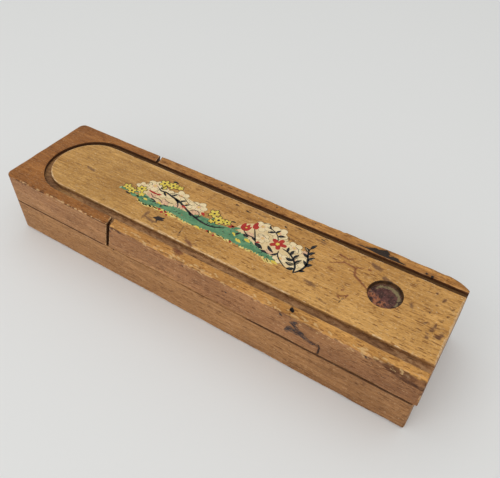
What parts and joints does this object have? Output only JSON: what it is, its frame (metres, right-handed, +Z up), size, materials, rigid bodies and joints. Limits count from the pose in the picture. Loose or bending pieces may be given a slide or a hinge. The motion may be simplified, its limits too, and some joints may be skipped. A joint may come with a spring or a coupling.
{
  "type": "two-tier wooden pencil box",
  "caption": "Long wooden pencil box in two tiers, with a round-ended lid that slides out of grooved rails and an upper tray pivoted on a screw above a routed lower tier.",
  "frame": {"origin": "centre of the bounding box, on the plane that the box rests on", "axes": "+X along the length, towards the open end that the lid slides out of; +Y towards the side that the tray swings to; +Z up"},
  "size_m": [0.22, 0.0544, 0.0361],
  "materials": {
    "base_wood": "worn clear varnish on beech",
    "end_wood": "worn clear varnish on beech, warm and dark",
    "tray_wood": "worn clear varnish on beech",
    "screw_steel": "dull, lightly rusted",
    "lid_wood": "worn clear varnish on beech, light",
    "transfer_print": "thin printed transfer under varnish"
  },
  "bodies": {
    "base": {"base_block": "base_wood", "end_block": "end_wood", "pivot_screw": "screw_steel"},
    "tray": {"swing_tray": "tray_wood"},
    "lid": {"lid": "lid_wood", "lid_decal": "transfer_print"}
  },
  "joints": [
    {"name": "tray_swing", "type": "hinge", "parent": "base", "child": "tray", "pos_m": [0.098, 0, 0.0194], "axis": [0, 0, -1], "range_deg": [0, 0.12]},
    {"name": "lid_slide", "type": "slide", "parent": "tray", "child": "lid", "axis": [1, 0, 0], "range_m": [0, 0.215]}
  ]
}
